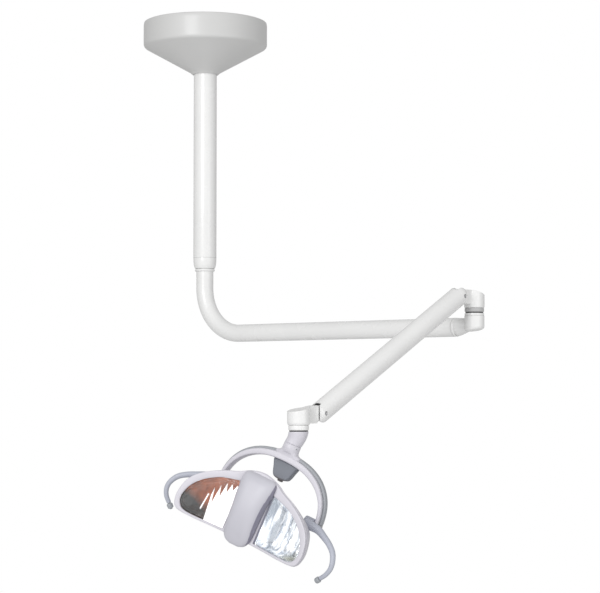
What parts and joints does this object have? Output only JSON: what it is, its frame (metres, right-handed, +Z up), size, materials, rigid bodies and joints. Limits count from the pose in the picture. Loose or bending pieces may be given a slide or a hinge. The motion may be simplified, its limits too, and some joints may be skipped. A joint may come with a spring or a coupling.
{
  "type": "ceiling-mounted operatory light",
  "caption": "Ceiling-hung examination light: drop post, rigid swivel arm, spring-balanced arm, yoke and a twin-lobe reflector head with side handles.",
  "frame": {"origin": "centre of the ceiling plate's top face, on the post's axis, where the light is bolted to the ceiling", "axes": "+Z up along the post; the arms reach towards +X and then -Y, and the lamp faces -Y"},
  "size_m": [0.8408, 1.2521, 1.3675],
  "materials": {
    "white_enamel": "gloss white powder coat",
    "canopy_enamel": "satin light grey powder coat",
    "head_plastic": "satin moulded plastic, cool light grey",
    "grey_plastic": "satin moulded plastic, mid grey",
    "handle_plastic": "satin moulded plastic, bluish grey",
    "pod_plastic": "satin moulded plastic, dark grey",
    "zinc_steel": "zinc-plated steel",
    "black_nylon": "black nylon",
    "mirror_metal": "faceted bright reflector",
    "clear_polycarbonate": "clear polycarbonate and lamp glass",
    "sintered_bronze": "sintered bronze",
    "copper_winding": "enamelled copper",
    "white_ceramic": "white steatite"
  },
  "bodies": {
    "root": {"ceiling_plate": "zinc_steel", "ceiling_bolt_1": "zinc_steel", "ceiling_bolt_2": "zinc_steel", "ceiling_bolt_3": "zinc_steel", "ceiling_bolt_4": "zinc_steel", "post_flange": "zinc_steel", "post_tube": "white_enamel", "canopy": "canopy_enamel", "transformer_core": "zinc_steel", "transformer_winding": "copper_winding", "terminal_block": "white_ceramic", "post_end_collar": "white_enamel", "lower_bush": "sintered_bronze", "upper_bush": "sintered_bronze"},
    "rigid_arm": {"rigid_arm_tube": "white_enamel", "arm_retaining_ring": "zinc_steel", "arm_thrust_ring": "white_enamel", "elbow_casting": "white_enamel", "elbow_pin": "zinc_steel", "elbow_lower_ring": "white_enamel"},
    "elbow": {"elbow_washer": "black_nylon", "elbow_upper_ring": "grey_plastic", "upper_knuckle": "white_enamel"},
    "spring_arm": {"spring_arm_shroud": "white_enamel", "upper_pivot_pin": "zinc_steel", "lower_pivot_pin": "zinc_steel", "balance_spring": "zinc_steel", "spring_tie_rod": "zinc_steel", "spring_seat": "zinc_steel", "spring_adjusting_nut": "zinc_steel"},
    "link": {"levelling_rod": "zinc_steel"},
    "lower_knuckle": {"lower_knuckle": "white_enamel", "neck_upper_ring": "white_enamel"},
    "neck": {"neck": "head_plastic", "head_spindle": "zinc_steel", "neck_wear_ring": "black_nylon"},
    "yoke": {"yoke_front": "head_plastic", "yoke_rear_cover": "grey_plastic", "yoke_hub": "head_plastic", "switch_pod": "pod_plastic", "left_pitch_pin": "zinc_steel", "right_pitch_pin": "zinc_steel", "left_friction_washer": "black_nylon", "right_friction_washer": "black_nylon"},
    "switch": {"lamp_switch": "black_nylon"},
    "head": {"rear_shell": "head_plastic", "front_bezel": "head_plastic", "left_shield": "clear_polycarbonate", "right_shield": "clear_polycarbonate", "left_reflector": "mirror_metal", "right_reflector": "mirror_metal", "left_handle": "handle_plastic", "right_handle": "handle_plastic", "left_handle_tip": "grey_plastic", "right_handle_tip": "grey_plastic", "bulb_cover": "head_plastic", "lamp_socket": "white_ceramic", "halogen_bulb": "clear_polycarbonate", "heat_shield": "zinc_steel"}
  },
  "joints": [
    {"name": "post_swivel", "type": "hinge", "parent": "root", "child": "rigid_arm", "pos_m": [0, 0, -0.6486], "axis": [0, 0, 1], "range_deg": [-175, 175]},
    {"name": "elbow_swivel", "type": "hinge", "parent": "rigid_arm", "child": "elbow", "pos_m": [0.65496, -0.55348, -0.7867], "axis": [0, 0, 1], "range_deg": [-44, 236]},
    {"name": "arm_lift", "type": "hinge", "parent": "elbow", "child": "spring_arm", "pos_m": [0.61371, -0.59311, -0.7509], "axis": [-0.6928, 0.7212, 0], "range_deg": [-17, 60]},
    {"name": "levelling_rod_pivot", "type": "hinge", "parent": "elbow", "child": "link", "pos_m": [0.61371, -0.59311, -0.7619], "axis": [-0.6928, 0.7212, 0], "range_deg": [-17, 60]},
    {"name": "lower_leveller", "type": "hinge", "parent": "spring_arm", "child": "lower_knuckle", "pos_m": [0.28955, -0.90451, -1.01747], "axis": [-0.6928, 0.7212, 0], "range_deg": [-60, 17]},
    {"name": "head_yaw", "type": "hinge", "parent": "lower_knuckle", "child": "neck", "pos_m": [0.24606, -0.94628, -1.0546], "axis": [0, 0, 1], "range_deg": [-135, 135]},
    {"name": "neck_swivel", "type": "hinge", "parent": "neck", "child": "yoke", "pos_m": [0.23416, -0.94411, -1.0826], "axis": [0.3901, -0.0711, 0.918], "range_deg": [-45, 45]},
    {"name": "head_pitch", "type": "hinge", "parent": "yoke", "child": "head", "pos_m": [0.18142, -0.9345, -1.20672], "axis": [0.8403, -0.3801, -0.3865], "range_deg": [-18, 80]},
    {"name": "switch_press", "type": "slide", "parent": "yoke", "child": "switch", "axis": [0.3901, -0.0711, 0.918], "range_m": [0, 0.0025], "stiffness_N_per_m": 300, "springref_m": -0.002}
  ],
  "couplings": [
    {"joint": "levelling_rod_pivot", "follows": "arm_lift", "ratio": 1},
    {"joint": "lower_leveller", "follows": "arm_lift", "ratio": -1}
  ]
}
